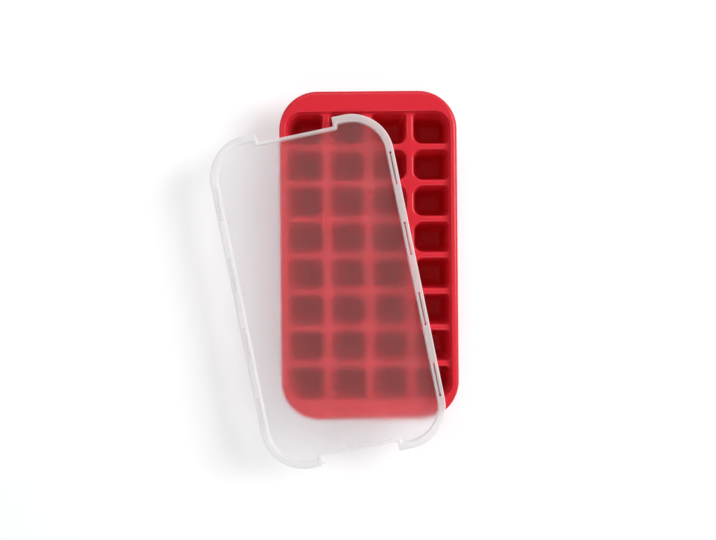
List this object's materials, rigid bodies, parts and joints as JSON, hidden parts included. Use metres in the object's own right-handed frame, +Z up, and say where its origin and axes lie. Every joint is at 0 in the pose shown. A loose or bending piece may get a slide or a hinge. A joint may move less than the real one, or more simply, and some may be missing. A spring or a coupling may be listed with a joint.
{
  "type": "freezer tray with lid",
  "caption": "Soft silicone freezer tray with rows of tapered rounded pockets, a raised rim and wide end flanges, under a loose frosted press-on lid with slots and end notches.",
  "frame": {"origin": "middle of the tray, on the plane of the pocket floors that it stands on", "axes": "+X across the tray, +Y along it, +Z up out of the pockets"},
  "size_m": [0.1663, 0.2535, 0.0472],
  "materials": {
    "silicone": "soft matte red silicone with a satin bloom",
    "frosted_plastic": "clear plastic, frosted all over, satin"
  },
  "bodies": {
    "tray": {"tray": "silicone"},
    "lid": {"lid": "frosted_plastic"}
  },
  "joints": [
    {"name": "lid_lift", "type": "slide", "parent": "tray", "child": "lid", "axis": [0, 0, 1], "range_m": [0, 0.07]}
  ]
}
